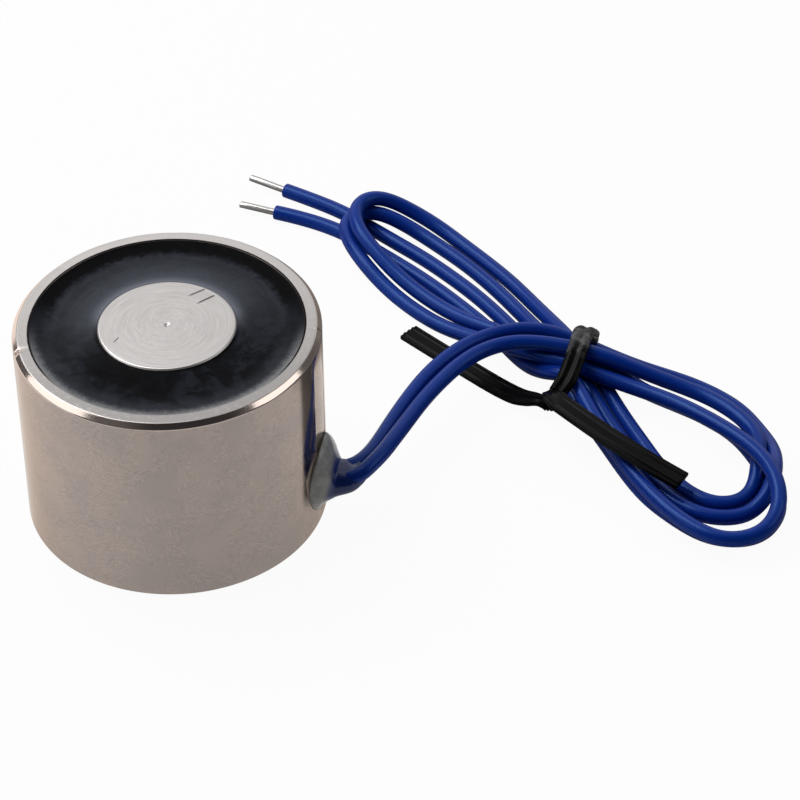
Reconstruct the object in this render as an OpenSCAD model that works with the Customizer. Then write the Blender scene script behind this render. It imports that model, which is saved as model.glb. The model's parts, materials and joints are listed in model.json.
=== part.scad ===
// Round holding electromagnet: a steel cup and centre pole around a potted coil,
// with two insulated leads coiled into a flat hank and held by a twist tie.
// Millimetres. The base stands on z = 0, the axis is z, and the leads leave along +x.

/* [Body] */
// Outside diameter of the steel cup
body_d = 30; // [25:0.5:40]
// Height of the steel cup
body_h = 22; // [18:0.5:32]
// Wall thickness of the cup
wall_t = 1.7; // [1.2:0.1:2.5]
// Thickness of the cup base
base_t = 3; // [2.5:0.1:5]
// Chamfer round the rim
rim_chamfer = 0.5; // [0.2:0.1:1]
// Chamfer round the base
base_chamfer = 0.4; // [0.2:0.1:1]

/* [Pole] */
// Diameter of the centre pole as a share of the cup's
pole_share = 0.4535; // [0.38:0.0005:0.48]
// Edge break round the pole face
pole_chamfer = 0.2; // [0.1:0.1:0.6]
// Diameter of the spigot pressed into the base
spigot_d = 9; // [7:0.5:10]
// Tapping diameter of the mounting thread
thread_d = 3.3; // [2.5:0.1:5]
// Depth of the mounting thread
thread_depth = 7; // [4:0.5:12]
// Countersink at the mouth of the thread
thread_lead_in = 0.5; // [0.2:0.1:0.8]
// Width of the turning mark at the middle of the pole face
mark_d = 0.9; // [0.4:0.1:2]

/* [Coil] */
// Barrel wall of the bobbin
bobbin_wall = 0.7; // [0.5:0.1:1.2]
// Thickness of each bobbin flange
flange_t = 0.8; // [0.5:0.1:1.2]
// Slip clearance between the bobbin and the pole
bobbin_clearance = 0.1; // [0.05:0.05:0.3]
// Radial gap between the bobbin flanges and the cup
flange_gap = 0.4; // [0.2:0.1:0.8]
// Thickness of the tape round the winding
tape_t = 0.2; // [0.1:0.05:0.4]
// Diameter of the winding wire where it leaves the coil
magnet_wire_d = 0.4; // [0.2:0.1:0.6]

/* [Potting] */
// Depth of compound over the bobbin
potting_t = 2.8; // [2:0.1:4]
// Step from the rim down to the compound
potting_step = 0.12; // [0.05:0.01:0.4]
// Dip of the compound between the pole and the rim
potting_dip = 0.22; // [0.1:0.01:0.5]
// Room left round whatever is buried in the compound
potting_clearance = 0.05; // [0.03:0.01:0.1]

/* [Leads] */
// Outside diameter of the lead insulation
lead_d = 1.6; // [1.2:0.1:2]
// Diameter of the tinned conductor
conductor_d = 0.76; // [0.5:0.02:1]
// Bare length at the end of lead a
bare_a = 4.2; // [2:0.1:8]
// Bare length at the end of lead b
bare_b = 4.6; // [2:0.1:8]
// Room on each side of a lead between the winding and the cup
lead_clearance = 0.25; // [0.2:0.05:0.5]
// Gap between the two leads in the exit hole
exit_gap = 0.1; // [0.1:0.05:0.4]
// Height of the leads above the lower flange
exit_lift = 0.9; // [0.7:0.1:3]
// Free room in the exit hole beside the pair of leads
hole_clearance = 0.5; // [0.4:0.1:1]

/* [Seal] */
// Diameter of the sealant where it meets the cup
seal_d = 7.8; // [6:0.1:8.6]
// Diameter of the sealant where the leads come out
seal_tip_d = 4; // [3.8:0.1:5]
// Length of the sealant outside the cup
seal_len = 2; // [1:0.1:3]

/* [Twist tie] */
// Width of the tie ribbon
tie_w = 2.4; // [1.6:0.1:2.6]
// Thickness of the tie ribbon
tie_t = 0.8; // [0.5:0.1:0.8]

/* [Output] */
// Sub-part to show

/* [Hidden] */
$fn = 96;

body_r = body_d / 2;
inner_r = body_r - wall_t;
pole_r = round(10 * pole_share * body_d) / 20;
spigot_r = spigot_d / 2;
thread_r = thread_d / 2;
lead_r = lead_d / 2;

// The leads run round the coil in the gap between its tape and the cup.
gap_r = inner_r - lead_clearance - lead_r;
tape_r = gap_r - lead_r - lead_clearance;
winding_r = tape_r - tape_t;
barrel_r = pole_r + bobbin_clearance + bobbin_wall;
flange_r = inner_r - flange_gap;
bobbin_top = body_h - potting_t;

exit_z = base_t + flange_t + lead_r + exit_lift;
exit_y = lead_r + exit_gap / 2;
hole_r = lead_d + hole_clearance / 2 + exit_gap / 2;

// Angles round the axis of the lead bends, lead ends, splices and coil tails.
lead_bend_a = 16;
lead_end_a = 32;
splice_end_a = 48;
tail_a = 60;

// Lead runs outside the cup, laid out by hand for a body of this radius.
drawn_r = 15;

run_a = [
    // out of the seal and across to the tie
    [17.2, 0.85, 5.5], [18.4, 2.5, 5.3], [19.1, 4.7, 5], [19.6, 7, 4.95], [20.2, 10, 4.9],
    [21, 13.3, 4.9], [22, 16.7, 4.9], [23.3, 19.8, 4.8], [25, 22.7, 4.7], [27.2, 25.1, 4.5],
    [30, 26.6, 4.5], [33.1, 27, 4.4], [36.4, 26.7, 3.5],
    // first loop on the right
    [39.6, 25.9, 2.9], [42.6, 25.7, 2], [45.6, 25.6, 1.3], [48.5, 25.3, 0.8], [51.5, 23.8, 0.8],
    [54.1, 22, 0.8], [56.2, 19.2, 0.8], [57.9, 16.2, 1.4], [58.5, 13, 2.3], [58.6, 10.5, 2.5],
    [58.2, 8.4, 1.9], [57, 6.8, 1], [55.4, 5.9, 0.8], [53.3, 5.5, 0.8], [51, 6, 0.8],
    [48.6, 7.5, 0.8], [46.4, 10, 0.8], [44.2, 13, 0.8], [42.2, 15.9, 0.8], [40.3, 18.6, 1],
    [38.5, 21.5, 1.4], [36.5, 24.4, 1.65],
    // loop on the left, under that of the other lead
    [34.3, 27, 1.7], [31.9, 30.1, 1.2], [29.6, 32.9, 0.8], [26.9, 35.9, 0.8], [24, 38.8, 0.8],
    [21, 41.4, 0.8], [18, 43.6, 0.8], [15.5, 45, 1.2], [13, 45.8, 1.9], [11, 46, 2.4],
    [9.2, 45.7, 2.4], [8.1, 44.4, 2.4], [8.1, 42.6, 2.4], [9, 40.4, 2.4], [10.6, 38.2, 2.2],
    [12.6, 36.2, 1.6], [15.2, 34.1, 0.9], [18.2, 31.8, 0.8], [21.2, 29.8, 0.9], [24.5, 28, 1.5],
    [28, 26.3, 2.4], [31.5, 24.7, 3.1], [34, 23.8, 3.35], [36.4, 23.25, 3.35],
    // second loop on the right, over all the others at its turn
    [38.6, 22.6, 3.05], [41.4, 21.9, 2.8], [44.5, 20.9, 2.8], [47.5, 19.6, 3], [50.2, 17.9, 3.3],
    [52.8, 16, 3.6], [55.2, 14, 3.9], [57.3, 11.7, 4.1], [58.8, 9.2, 4.1], [59.6, 6.8, 3.7],
    [59.6, 4.5, 3.1], [58.6, 2.4, 2.6], [56.6, 1.1, 2.4], [54.2, 0.8, 2.4], [51.8, 1.9, 2.4],
    [49.4, 3.6, 2.4], [47, 6, 2.4], [44.8, 8.6, 2.4], [42.8, 11.4, 2.4], [40.8, 14.4, 2.5],
    [38.8, 17.5, 2.7], [36.4, 21.2, 3.4],
    // free end on the left
    [34.6, 21.6, 2.9], [32.6, 23.4, 1.6], [30.2, 26, 0.8], [27.6, 29, 0.8], [25, 31.4, 0.8],
    [22, 34, 0.8], [19, 36.4, 0.8], [15.5, 38.9, 0.8], [12, 41.1, 0.8], [8.5, 43.4, 0.8],
    [5.5, 44.7, 0.8], [2.3, 45.6, 0.8], [-0.6, 46.1, 0.8]
];

run_b = [
    // out of the seal and across to the tie
    [17.2, -0.85, 5.5], [18.7, -0.3, 5.8], [19.5, 1, 6.1], [20.4, 3.1, 6.1], [21, 5.6, 6],
    [21.7, 8.4, 5.8], [22.5, 11.9, 5.6], [23.6, 15.3, 5.4], [25, 18.8, 5.2], [26.9, 21.7, 5.1],
    [29.5, 23.7, 5], [32.8, 24.3, 4.95], [36.4, 24.1, 4.85],
    // first loop on the right
    [39.3, 23.7, 4.65], [42.2, 23.5, 3.8], [45.4, 23.2, 2.9], [49, 22.5, 2.4], [52, 21, 2.4],
    [54.6, 18.9, 2.4], [56.5, 16.3, 2.4], [56.7, 13.4, 2.4], [56.9, 10.7, 1.5], [56.1, 8.7, 0.8],
    [53.8, 7.4, 0.8], [51.2, 8.1, 0.8], [49, 9.8, 0.8], [46.8, 12.2, 0.8], [45, 14.9, 0.8],
    [43, 17.8, 0.8], [41, 20.8, 1], [39, 23.9, 1.4], [36.6, 27.1, 1.65],
    // loop on the left, over that of the other lead
    [34.5, 29.8, 1.7], [32, 33, 1.1], [29.5, 36, 0.8], [26.7, 39, 0.8], [23.5, 41.8, 0.8],
    [20.3, 44.5, 0.8], [17.4, 46.3, 1.4], [14.5, 47.3, 2.2], [12, 47.4, 3.3], [10, 46.5, 4],
    [9, 44.8, 4], [9.2, 42.6, 4], [10.2, 40.6, 3.7], [12, 38.8, 3.1], [14.2, 36.9, 2.3],
    [16.8, 35, 1.6], [19.8, 32.9, 1.4], [23, 30.7, 1.6], [26.4, 28.8, 2.3], [30, 27.4, 2.5],
    [33.2, 25.8, 3], [36.4, 24.9, 3.35],
    // second loop on the right, beneath all the others
    [38.8, 24.35, 3.1], [40.9, 23.8, 2.5], [43.3, 23.5, 0.9], [45.8, 22.5, 0.8],
    [48.8, 21.3, 0.8], [51.4, 20, 0.8], [53.7, 18.3, 0.8], [55.4, 16.4, 0.8], [56.7, 14.4, 0.8],
    [57.9, 12.5, 0.8], [58.8, 10.6, 0.8], [59.6, 8.4, 0.8], [59.3, 6.1, 0.8], [58.5, 4.2, 0.8],
    [56.9, 2.9, 0.8], [54.4, 2.5, 0.8], [52, 3.1, 0.8], [49.4, 4.8, 0.8], [46.7, 6.9, 0.8],
    [44.4, 9.7, 0.8], [42.4, 12.6, 0.8], [40.4, 15.6, 0.8], [38.3, 18.3, 1.1], [36.2, 21.5, 1.7],
    // free end on the left
    [34.2, 24.3, 1.65], [31.8, 27.2, 0.9], [29.4, 30, 0.8], [26.6, 33, 0.8], [23.6, 35.9, 0.8],
    [20.5, 38.4, 0.8], [17.2, 40.9, 0.8], [13.8, 43, 0.8], [10.4, 45.2, 0.8], [7, 47.3, 0.8],
    [3.5, 48.8, 0.8], [-0.4, 50.2, 0.8]
];

// Tie ribbon from the end of its right tail to that of its left tail.
// Each row is x, y, z and the compass angle of the ribbon's width, which stays level.
run_tie = [
    [49.8, 7.6, 3.2, 57], [47.6, 8.5, 3.6, 57], [45.5, 9.4, 4, 57], [43.3, 10.6, 4.3, 57],
    [41.1, 11.9, 4.5, 56], [39.1, 13.2, 4.7, 54], [37.4, 14.4, 4.8, 50], [36.2, 15.4, 4.75, 42],
    // a fold at the knot, under the tail
    [35.4, 16.5, 4.5, 30], [35, 17.2, 4.1, 22], [34.9, 17.9, 3.6, 14], [35.2, 18.3, 3.4, 2],
    [35.6, 18.7, 3.7, -12],
    // up the front, over the bundle and down its back
    [36.1, 19.5, 4.3, -14], [36.4, 20.6, 4.8, -10], [36.7, 22.2, 5.6, -6], [36.9, 23.8, 6.2, -5],
    [36.9, 25.3, 5.95, -5], [36.9, 26.6, 5.3, -5], [36.9, 27.8, 4.4, -5], [36.9, 29.1, 3.2, -5],
    [36.9, 30.3, 2.1, -5], [36.7, 30.7, 1.1, -5],
    // back under the bundle
    [36.4, 29.9, 0.45, -5], [35.9, 27.8, 0.4, -5], [35.7, 26, 0.4, -5], [35.5, 22.3, 0.4, -5],
    [35.2, 20.4, 0.4, -5],
    // a half turn in front of the bundle, then the left tail
    [34.9, 19.2, 0.75, 0], [34.6, 18.4, 1.5, 15], [33.9, 18.6, 1.9, 35], [32.6, 19.4, 1.3, 50],
    [30.8, 20.5, 0.6, 54], [28, 22.2, 0.4, 56], [24.7, 24.3, 0.4, 57], [21.3, 26.5, 0.4, 57],
    [17.8, 28.8, 0.4, 57]
];

// Moves a run with the side of the body.
function shifted(run) = [for (p = run) [p[0] + body_r - drawn_r, p[1], p[2]]];

// Lead inside the cup: round the coil, then out through the hole. side is 1 or -1.
function inside(side) = [
    for (k = [2 : -1 : 0])
        let (a = lead_bend_a + (lead_end_a - lead_bend_a) * k / 2)
        [gap_r * cos(a), side * gap_r * sin(a), exit_z],
    [gap_r - 0.1, side * (exit_y + 1.8), exit_z],
    [gap_r + 0.25, side * (exit_y + 0.6), exit_z],
    [gap_r + 1, side * (exit_y + 0.1), exit_z],
    [body_r, side * exit_y, exit_z]
];

route_a = concat(inside(1), shifted(run_a));
route_b = concat(inside(-1), shifted(run_b));

function unit(v) = v / norm(v);

// Direction of a path at point i.
function along(path, i) =
    unit(path[min(i + 1, len(path) - 1)] - path[max(i - 1, 0)]);

// Triangles over rings of m points each, wound to face outward.
function skin(rings, m) = concat(
    [[for (k = [0 : m - 1]) k]],
    [for (i = [0 : rings - 2], k = [0 : m - 1], h = [0, 1])
        let (a = i * m + k, b = i * m + (k + 1) % m)
        h == 0 ? [a, a + m, b + m] : [a, b + m, b]],
    [[for (k = [m - 1 : -1 : 0]) (rings - 1) * m + k]]
);

// Eight-sided tube along a path.
module tube(path, r) {
    rings = [for (i = [0 : len(path) - 1])
        let (t = along(path, i), n = unit(cross([0, 0, 1], t)), b = cross(t, n))
        for (k = [0 : 7]) path[i] + r * cos(45 * k) * n + r * sin(45 * k) * b];
    polyhedron(rings, skin(len(path), 8));
}

// Flat ribbon along rows of x, y, z and width angle.
module ribbon(rows, w, t) {
    path = [for (q = rows) [q[0], q[1], q[2]]];
    c = t * 0.3;
    section = [[w / 2, -t / 2 + c], [w / 2, t / 2 - c], [w / 2 - c, t / 2], [c - w / 2, t / 2],
               [-w / 2, t / 2 - c], [-w / 2, c - t / 2], [c - w / 2, -t / 2], [w / 2 - c, -t / 2]];
    rings = [for (i = [0 : len(rows) - 1])
        let (d = along(path, i), a = rows[i][3], u = [cos(a), sin(a), 0],
             n = unit(cross(d, u)), v = cross(n, d))
        for (s = section) path[i] + s[0] * v + s[1] * n];
    polyhedron(rings, skin(len(rows), 8));
}

// Round bar bent round the axis at the lead height, between two angles.
module arc_bar(from, to, r) {
    translate([0, 0, exit_z])
        rotate([0, 0, from])
            rotate_extrude(angle = to - from)
                translate([gap_r, 0])
                    circle(r = r);
}

// Bar along the leads where they pass the wall.
module exit_bar(side, r, x0, x1) {
    translate([x0, side * exit_y, exit_z])
        rotate([0, 90, 0])
            cylinder(r = r, h = x1 - x0);
}

// Room for the bend of a lead from the gap into the exit hole.
module bend_room(side) {
    room = lead_r + 3 * potting_clearance;
    translate([gap_r + 0.45, side * (exit_y + 0.9), exit_z - room])
        cylinder(r = lead_r + 0.8, h = 2 * room);
}

// Winding wire, slanting out of the coil and up to a splice.
module coil_tail(side, r, extra) {
    end_a = splice_end_a + 1.2;
    from = [(winding_r - 0.4) * cos(tail_a), side * (winding_r - 0.4) * sin(tail_a), exit_z];
    to = [gap_r * cos(end_a), side * gap_r * sin(end_a), exit_z];
    translate(from)
        rotate([0, 90, atan2(to[1] - from[1], to[0] - from[0])])
            cylinder(r = r, h = norm(to - from) + extra);
}

// Bare conductor at the far end of a route.
module tip(route, length) {
    last = route[len(route) - 1];
    d = last - route[len(route) - 2];
    translate(last)
        rotate([0, 90, atan2(d[1], d[0])])
            cylinder(r = conductor_d / 2, h = length);
}

module housing_cup() {
    color([0.74, 0.72, 0.68])
    difference() {
        rotate_extrude()
            polygon([
                [spigot_r, 0], [body_r - base_chamfer, 0], [body_r, base_chamfer],
                [body_r, body_h - rim_chamfer], [body_r - rim_chamfer, body_h],
                [inner_r, body_h], [inner_r, base_t], [spigot_r, base_t]
            ]);
        translate([pole_r, 0, exit_z])
            rotate([0, 90, 0])
                cylinder(r = hole_r, h = body_r);
    }
}

module centre_pole() {
    color([0.78, 0.77, 0.75])
    rotate_extrude()
        polygon([
            [0, thread_depth + thread_r * 0.6], [thread_r, thread_depth],
            [thread_r, thread_lead_in], [thread_r + thread_lead_in, 0], [spigot_r, 0],
            [spigot_r, base_t], [pole_r, base_t], [pole_r, body_h - pole_chamfer],
            [pole_r - pole_chamfer, body_h], [mark_d / 2, body_h], [0, body_h - mark_d / 3]
        ]);
}

module bobbin() {
    color([0.9, 0.88, 0.8])
    rotate_extrude()
        polygon([
            [pole_r + bobbin_clearance, base_t], [flange_r, base_t],
            [flange_r, base_t + flange_t], [barrel_r, base_t + flange_t],
            [barrel_r, bobbin_top - flange_t], [flange_r, bobbin_top - flange_t],
            [flange_r, bobbin_top], [pole_r + bobbin_clearance, bobbin_top]
        ]);
}

module coil_winding() {
    color([0.72, 0.38, 0.16]) {
        rotate_extrude()
            translate([barrel_r, base_t + flange_t])
                square([winding_r - barrel_r, bobbin_top - base_t - 2 * flange_t]);
        coil_tail(1, magnet_wire_d / 2, 0);
        coil_tail(-1, magnet_wire_d / 2, 0);
    }
}

module coil_tape() {
    color([0.85, 0.7, 0.2])
    difference() {
        rotate_extrude()
            translate([winding_r, base_t + flange_t])
                square([tape_t, bobbin_top - base_t - 2 * flange_t]);
        for (side = [-1, 1])
            coil_tail(side, magnet_wire_d / 2 + potting_clearance, 0);
    }
}

module splice_joint_a() {
    color([0.8, 0.8, 0.82])
    arc_bar(lead_end_a + 0.5, splice_end_a, lead_r * 0.7);
}

module splice_joint_b() {
    color([0.8, 0.8, 0.82])
    arc_bar(-splice_end_a, -lead_end_a - 0.5, lead_r * 0.7);
}

module splice_sleeve_a() {
    color([0.12, 0.12, 0.12])
    difference() {
        arc_bar(lead_end_a + 1, splice_end_a - 1, lead_r);
        arc_bar(lead_end_a - 1, splice_end_a + 1, lead_r * 0.7);
    }
}

module splice_sleeve_b() {
    color([0.12, 0.12, 0.12])
    difference() {
        arc_bar(1 - splice_end_a, -lead_end_a - 1, lead_r);
        arc_bar(-splice_end_a - 1, 1 - lead_end_a, lead_r * 0.7);
    }
}

module potting_compound() {
    top = body_h - potting_step;
    color([0.06, 0.065, 0.08])
    difference() {
        rotate_extrude()
            polygon(concat(
                [[pole_r, bobbin_top]],
                [for (k = [0 : 8])
                    [pole_r + (inner_r - pole_r) * k / 8, top - potting_dip * sin(22.5 * k)]],
                [[inner_r, base_t], [flange_r, base_t], [flange_r, base_t + flange_t],
                 [tape_r, base_t + flange_t], [tape_r, bobbin_top - flange_t],
                 [flange_r, bobbin_top - flange_t], [flange_r, bobbin_top]]
            ));
        for (side = [-1, 1]) {
            arc_bar(side > 0 ? 4 : -splice_end_a, side > 0 ? splice_end_a : -4,
                    lead_r + potting_clearance);
            coil_tail(side, magnet_wire_d / 2 + potting_clearance, 0.6);
            exit_bar(side, lead_r + 2 * potting_clearance, gap_r, body_r);
            bend_room(side);
        }
    }
}

module lead_seal() {
    sag = body_r - sqrt(body_r * body_r - seal_d * seal_d / 4);
    reach = sag + seal_len;
    color([0.45, 0.48, 0.5])
    difference() {
        union() {
            difference() {
                translate([body_r - sag, 0, exit_z])
                    rotate([0, 90, 0])
                        rotate_extrude()
                            polygon(concat(
                                [[0, 0]],
                                [for (k = [0 : 8])
                                    [seal_tip_d / 2 + (seal_d - seal_tip_d) / 2 * pow(1 - k / 8, 1.5),
                                     reach * k / 8]],
                                [[0, reach]]
                            ));
                cylinder(r = body_r, h = body_h);
            }
            difference() {
                translate([inner_r - 1, 0, exit_z])
                    rotate([0, 90, 0])
                        cylinder(r = hole_r, h = wall_t + 1.3);
                cylinder(r = inner_r, h = body_h);
            }
        }
        for (side = [-1, 1]) {
            exit_bar(side, lead_r + 2 * potting_clearance, pole_r, body_r + seal_len + 1);
            bend_room(side);
        }
    }
}

module lead_a() {
    color([0.05, 0.1, 0.45])
    tube(route_a, lead_r);
}

module lead_b() {
    color([0.05, 0.1, 0.45])
    tube(route_b, lead_r);
}

module lead_a_tip() {
    color([0.8, 0.8, 0.82])
    tip(route_a, bare_a);
}

module lead_b_tip() {
    color([0.8, 0.8, 0.82])
    tip(route_b, bare_b);
}

module twist_tie() {
    color([0.05, 0.05, 0.05])
    translate([body_r - drawn_r, 0, 0])
        ribbon(run_tie, tie_w, tie_t);
}

housing_cup();
centre_pole();
bobbin();
coil_winding();
coil_tape();
splice_joint_a();
splice_joint_b();
splice_sleeve_a();
splice_sleeve_b();
potting_compound();
lead_seal();
lead_a();
lead_b();
lead_a_tip();
lead_b_tip();
twist_tie();
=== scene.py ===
"""Round holding electromagnet with a hank of blue leads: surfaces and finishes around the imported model."""

import json
import math

import bpy
import numpy as np
from bpy.props import FloatProperty, FloatVectorProperty, PointerProperty
from bpy.types import Operator, Panel, PropertyGroup
from mathutils import Matrix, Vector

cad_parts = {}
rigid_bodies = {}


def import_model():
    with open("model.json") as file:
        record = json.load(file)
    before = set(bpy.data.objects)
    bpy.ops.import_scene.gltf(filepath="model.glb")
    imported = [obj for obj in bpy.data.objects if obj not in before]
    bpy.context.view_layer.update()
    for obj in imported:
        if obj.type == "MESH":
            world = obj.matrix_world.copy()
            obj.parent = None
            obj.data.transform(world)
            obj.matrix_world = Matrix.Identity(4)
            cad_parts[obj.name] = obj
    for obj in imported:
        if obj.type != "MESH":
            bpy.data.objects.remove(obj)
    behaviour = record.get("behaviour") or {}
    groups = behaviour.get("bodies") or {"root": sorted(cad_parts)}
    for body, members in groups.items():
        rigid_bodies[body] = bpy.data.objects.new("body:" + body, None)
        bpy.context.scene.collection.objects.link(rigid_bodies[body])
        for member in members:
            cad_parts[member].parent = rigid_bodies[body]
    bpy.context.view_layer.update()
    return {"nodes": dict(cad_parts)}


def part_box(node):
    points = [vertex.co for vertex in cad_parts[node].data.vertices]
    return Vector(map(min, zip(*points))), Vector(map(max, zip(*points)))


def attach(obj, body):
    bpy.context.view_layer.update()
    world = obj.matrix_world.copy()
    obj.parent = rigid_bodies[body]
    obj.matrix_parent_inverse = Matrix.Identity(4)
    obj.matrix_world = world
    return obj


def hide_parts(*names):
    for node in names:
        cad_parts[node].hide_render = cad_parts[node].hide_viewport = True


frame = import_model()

bl_info = {
    "name": "Holding Electromagnet",
    "version": (1, 0, 0),
    "blender": (4, 5, 0),
    "location": "3D View > Sidebar > Electromagnet",
    "description": "Builds the visible surfaces and finishes of a round holding electromagnet",
    "category": "Object",
}

MM = 0.001
BODY = "root"
CUP_R, _, CUP_H = (float(c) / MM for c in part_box("housing_cup")[1])
SEED = 7

# Level directions from the cup's axis: to the back, to the bright sky there, to the part of the rim
# lightened by painted light, to the pool of painted shade on the compound and to the front of the floor.
AWAY = (-0.208, 0.978)
SKY = (-0.423, 0.906)
LIT_RIM_AIM = (-0.17, 0.985)
PAINTED_SHADE_AIM = (-0.26, -0.966)
FRONT = (0.508, -0.861)

# Nicks on the rim: degrees round the cup, width along it and depth.
NICKS = (
    (-154.7, 0.22, 0.08), (-153.2, 0.14, 0.05), (8.3, 0.16, 0.05), (5.5, 0.5, 0.02),
    (101, 0.5, 0.02), (-121, 0.6, 0.015), (152, 0.4, 0.02),
)
# Scratches on the pole's face: start, end and half width.
SCRATCHES = (
    ((0.85, 4.57), (2.42, 6.14), 0.17),
    ((1.95, 3.55), (3.6, 5.4), 0.19),
    ((-4.4, -3.62), (-4.05, -2.6), 0.09),
)

# Where the leads leave the cup, and the radius at which they run round the coil inside it.
EXIT_Y, EXIT_Z = 0.85, 5.5
GAP_R = 12.25
# Middle lines of the leads outside the cup, given as in the part's source. Beside the tie,
# lead A lies up to 0.6 mm from its line there.
LEAD_A = [
    (17.2, 0.85, 5.5), (18.4, 2.5, 5.3), (19.1, 4.7, 5), (19.6, 7, 4.95), (20.2, 10, 4.9),
    (21, 13.3, 4.9), (22, 16.7, 4.9), (23.3, 19.8, 4.8), (25, 22.7, 4.7), (27.2, 25.1, 4.5),
    (30, 26.6, 4.5), (33.1, 27, 4.4), (36.4, 26.7, 3.5),
    (39.6, 25.9, 2.9), (42.6, 25.7, 2), (45.6, 25.6, 1.3), (48.5, 25.3, 0.8), (51.5, 23.8, 0.8),
    (54.1, 22, 0.8), (56.2, 19.2, 0.8), (57.9, 16.2, 1.4), (58.5, 13, 2.3), (58.6, 10.5, 2.5),
    (58.2, 8.4, 1.9), (57, 6.8, 1), (55.4, 5.9, 0.8), (53.3, 5.5, 0.8), (51, 6, 0.8),
    (48.6, 7.5, 0.8), (46.4, 10, 0.8), (44.2, 13, 0.8), (42.2, 15.9, 0.8), (40.3, 18.6, 1),
    (38.5, 21.5, 1.4), (36.5, 24.4, 1.65),
    (34.3, 27, 1.7), (31.9, 30.1, 1.2), (29.6, 32.9, 0.8), (26.9, 35.9, 0.8), (24, 38.8, 0.8),
    (21, 41.4, 0.8), (18, 43.6, 0.8), (15.5, 45, 1.2), (13, 45.8, 1.9), (11, 46, 2.4),
    (9.2, 45.7, 2.4), (8.1, 44.4, 2.4), (8.1, 42.6, 2.4), (9, 40.4, 2.4), (10.6, 38.2, 2.2),
    (12.6, 36.2, 1.6), (15.2, 34.1, 0.9), (18.2, 31.8, 0.8), (21.2, 29.8, 0.9), (24.5, 28, 1.5),
    (28, 26.3, 2.4), (31.5, 24.7, 3.1), (34, 23.8, 3.35), (36.4, 23.25, 3.35),
    (38.6, 22.6, 3.05), (41.4, 21.9, 2.8), (44.5, 20.9, 2.8), (47.5, 19.6, 3), (50.2, 17.9, 3.3),
    (52.8, 16, 3.6), (55.2, 14, 3.9), (57.3, 11.7, 4.1), (58.8, 9.2, 4.1), (59.6, 6.8, 3.7),
    (59.6, 4.5, 3.1), (58.6, 2.4, 2.6), (56.6, 1.1, 2.4), (54.2, 0.8, 2.4), (51.8, 1.9, 2.4),
    (49.4, 3.6, 2.4), (47, 6, 2.4), (44.8, 8.6, 2.4), (42.8, 11.4, 2.4), (40.8, 14.4, 2.5),
    (38.8, 17.5, 2.7), (36.4, 21.5, 3.4),
    (34.6, 22.1, 2.9), (32.4, 23.7, 1.6), (30.2, 26, 0.8), (27.6, 29, 0.8), (25, 31.4, 0.8),
    (22, 34, 0.8), (19, 36.4, 0.8), (15.5, 38.9, 0.8), (12, 41.1, 0.8), (8.5, 43.4, 0.8),
    (5.5, 44.7, 0.8), (2.3, 45.6, 0.8), (-0.6, 46.1, 0.8),
]
LEAD_B = [
    (17.2, -0.85, 5.5), (18.7, -0.3, 5.8), (19.5, 1, 6.1), (20.4, 3.1, 6.1), (21, 5.6, 6),
    (21.7, 8.4, 5.8), (22.5, 11.9, 5.6), (23.6, 15.3, 5.4), (25, 18.8, 5.2), (26.9, 21.7, 5.1),
    (29.5, 23.7, 5), (32.8, 24.3, 4.95), (36.4, 24.1, 4.85),
    (39.3, 23.7, 4.65), (42.2, 23.5, 3.8), (45.4, 23.2, 2.9), (49, 22.5, 2.4), (52, 21, 2.4),
    (54.6, 18.9, 2.4), (56.5, 16.3, 2.4), (56.7, 13.4, 2.4), (56.9, 10.7, 1.5), (56.1, 8.7, 0.8),
    (53.8, 7.4, 0.8), (51.2, 8.1, 0.8), (49, 9.8, 0.8), (46.8, 12.2, 0.8), (45, 14.9, 0.8),
    (43, 17.8, 0.8), (41, 20.8, 1), (39, 23.9, 1.4), (36.6, 27.1, 1.65),
    (34.5, 29.8, 1.7), (32, 33, 1.1), (29.5, 36, 0.8), (26.7, 39, 0.8), (23.5, 41.8, 0.8),
    (20.3, 44.5, 0.8), (17.4, 46.3, 1.4), (14.5, 47.3, 2.2), (12, 47.4, 3.3), (10, 46.5, 4),
    (9, 44.8, 4), (9.2, 42.6, 4), (10.2, 40.6, 3.7), (12, 38.8, 3.1), (14.2, 36.9, 2.3),
    (16.8, 35, 1.6), (19.8, 32.9, 1.4), (23, 30.7, 1.6), (26.4, 28.8, 2.3), (30, 27.4, 2.5),
    (33.2, 25.8, 3), (36.4, 24.9, 3.35),
    (38.8, 24.35, 3.1), (40.9, 23.8, 2.5), (43.3, 23.5, 0.9), (45.8, 22.5, 0.8),
    (48.8, 21.3, 0.8), (51.4, 20, 0.8), (53.7, 18.3, 0.8), (55.4, 16.4, 0.8), (56.7, 14.4, 0.8),
    (57.9, 12.5, 0.8), (58.8, 10.6, 0.8), (59.6, 8.4, 0.8), (59.3, 6.1, 0.8), (58.5, 4.2, 0.8),
    (56.9, 2.9, 0.8), (54.4, 2.5, 0.8), (52, 3.1, 0.8), (49.4, 4.8, 0.8), (46.7, 6.9, 0.8),
    (44.4, 9.7, 0.8), (42.4, 12.6, 0.8), (40.4, 15.6, 0.8), (38.3, 18.3, 1.1), (36.2, 21.5, 1.7),
    (34.2, 24.3, 1.65), (31.8, 27.2, 0.9), (29.4, 30, 0.8), (26.6, 33, 0.8), (23.6, 35.9, 0.8),
    (20.5, 38.4, 0.8), (17.2, 40.9, 0.8), (13.8, 43, 0.8), (10.4, 45.2, 0.8), (7, 47.3, 0.8),
    (3.5, 48.8, 0.8), (-0.4, 50.2, 0.8),
]
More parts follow.
